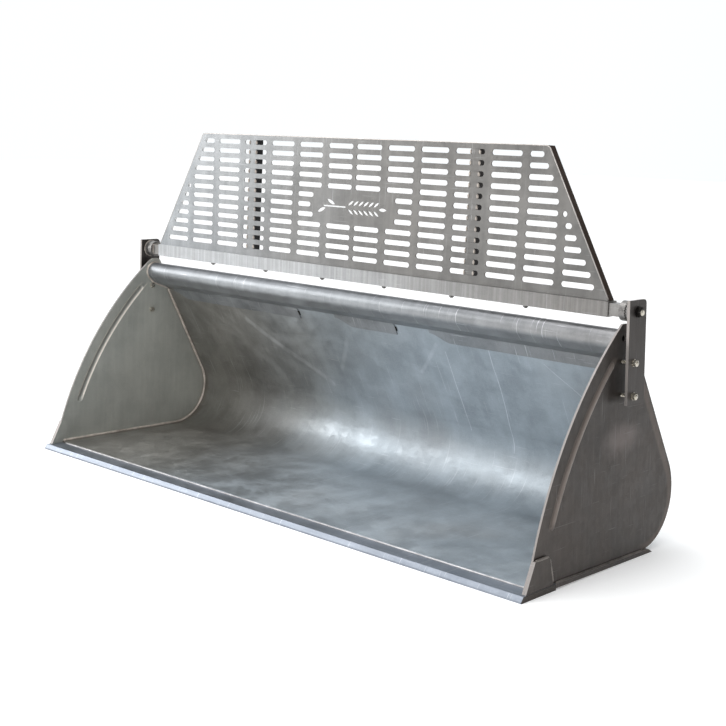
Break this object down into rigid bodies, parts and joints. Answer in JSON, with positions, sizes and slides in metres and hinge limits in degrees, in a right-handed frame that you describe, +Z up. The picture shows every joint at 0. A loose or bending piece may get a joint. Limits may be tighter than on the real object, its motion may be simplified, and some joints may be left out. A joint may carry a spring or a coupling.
{
  "type": "loader bucket",
  "caption": "Wide galvanised front loader bucket for loose feed or bedding, with a perforated spill guard that tilts on toothed lockable pivots.",
  "frame": {"origin": "bottom centre of the whole object's box, on the ground plane", "axes": "+X along the cutting edge, +Y from the cutting edge towards the loader, +Z up"},
  "size_m": [2.0622, 0.77, 1.0839],
  "materials": {
    "shell_zinc": "hot-dip galvanised sheet, rub marks",
    "edge_zinc": "hot-dip galvanised bar, light scratches",
    "plate_zinc": "hot-dip galvanised plate, dull",
    "beam_zinc": "hot-dip galvanised, bright",
    "bracket_zinc": "hot-dip galvanised flat bar",
    "disc_zinc": "hot-dip galvanised steel",
    "fastener_zinc": "bright zinc plated",
    "dark_washer": "dark steel, oiled",
    "guard_zinc": "hot-dip galvanised sheet, matt",
    "stub_zinc": "hot-dip galvanised square bar"
  },
  "bodies": {
    "bucket": {"bucket_shell": "shell_zinc", "cutting_edge": "edge_zinc", "side_plate_left": "plate_zinc", "side_plate_right": "plate_zinc", "top_beam": "beam_zinc", "corner_plate_left": "plate_zinc", "corner_plate_right": "plate_zinc", "floor_strip_left": "plate_zinc", "floor_strip_right": "plate_zinc", "hitch_hook_left": "plate_zinc", "hitch_hook_right": "plate_zinc", "guard_bracket_left": "bracket_zinc", "guard_bracket_right": "bracket_zinc", "bracket_disc_left": "disc_zinc", "bracket_disc_right": "disc_zinc", "bracket_bolts": "fastener_zinc", "bracket_nuts": "fastener_zinc", "bracket_washers": "fastener_zinc", "pivot_nuts": "fastener_zinc", "pivot_washers": "dark_washer"},
    "guard": {"guard_sheet": "guard_zinc", "guard_tube": "guard_zinc", "stiffener_left": "guard_zinc", "stiffener_right": "guard_zinc", "sheet_screws": "fastener_zinc", "sheet_nuts": "fastener_zinc"},
    "stub_left": {"stub_left": "stub_zinc", "stub_disc_left": "disc_zinc", "pivot_bolt_left": "fastener_zinc"},
    "stub_right": {"stub_right": "stub_zinc", "stub_disc_right": "disc_zinc", "pivot_bolt_right": "fastener_zinc"}
  },
  "joints": [
    {"name": "guard_tilt", "type": "hinge", "parent": "bucket", "child": "guard", "pos_m": [0, 0.061, 0.671], "axis": [1, 0, 0], "range_deg": [-90, 100]},
    {"name": "stub_slide_left", "type": "slide", "parent": "guard", "child": "stub_left", "axis": [1, 0, 0], "range_m": [0, 0.012]},
    {"name": "stub_slide_right", "type": "slide", "parent": "guard", "child": "stub_right", "axis": [-1, 0, 0], "range_m": [0, 0.012]}
  ]
}
